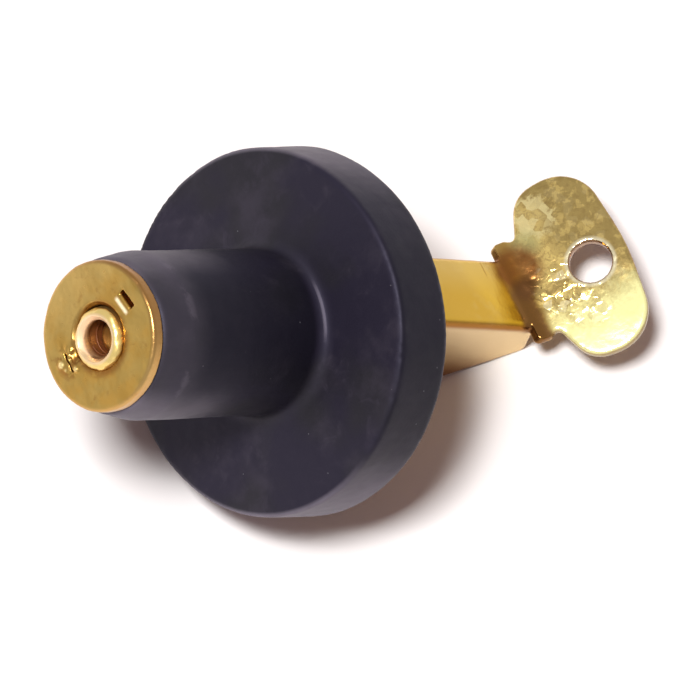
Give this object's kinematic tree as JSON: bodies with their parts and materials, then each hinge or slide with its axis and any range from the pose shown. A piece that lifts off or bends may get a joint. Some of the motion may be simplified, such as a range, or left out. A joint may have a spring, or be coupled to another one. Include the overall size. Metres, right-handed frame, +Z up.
{
  "type": "snap-lever drain plug",
  "caption": "Rubber drain plug with a brass cam lever that draws its end washer in, so the shank swells and seals a boat's drain tube.",
  "frame": {"origin": "on the surface the loose plug lies on, under the middle of its overall box", "axes": "+Z up from that surface; +X along it, from the shank's end towards the lever, with the plug's own axis leaning down by 35.1 degrees towards +X; +Y across the plug, along the pivot pin"},
  "size_m": [0.0508, 0.0284, 0.0295],
  "materials": {
    "black_rubber": "matt moulded rubber with a dusty bloom on its edges",
    "washer_brass": "stamped brass, smudged and finely scratched",
    "bush_brass": "turned brass, bright at the lip",
    "stem_brass": "turned brass, dull",
    "thrust_washer_brass": "stamped brass, dull",
    "lever_brass": "stamped and folded sheet brass with darker patches in the bend and at the hole",
    "pin_brass": "riveted brass with domed heads"
  },
  "bodies": {
    "plug": {"rubber_plug": "black_rubber", "thrust_washer": "thrust_washer_brass"},
    "end_cap": {"end_washer": "washer_brass", "threaded_bush": "bush_brass"},
    "draw_stem": {"stem": "stem_brass"},
    "lever": {"cam_lever": "lever_brass", "pivot_pin": "pin_brass"}
  },
  "joints": [
    {"name": "draw", "type": "slide", "parent": "plug", "child": "end_cap", "axis": [0.818, 0, -0.5752], "range_m": [0, 0.00204], "deforming": ["rubber_plug"]},
    {"name": "adjust_turn", "type": "hinge", "parent": "end_cap", "child": "draw_stem", "pos_m": [-0.00729, 0, 0.01451], "axis": [0.818, 0, -0.5752], "continuous": true},
    {"name": "lever_snap", "type": "hinge", "parent": "draw_stem", "child": "lever", "pos_m": [0.0004, 0, 0.0091], "axis": [0, 1, 0], "range_deg": [0, 90]}
  ],
  "couplings": [
    {"joint": "lever_snap", "follows": "draw", "rad_per_m": 769.23}
  ]
}
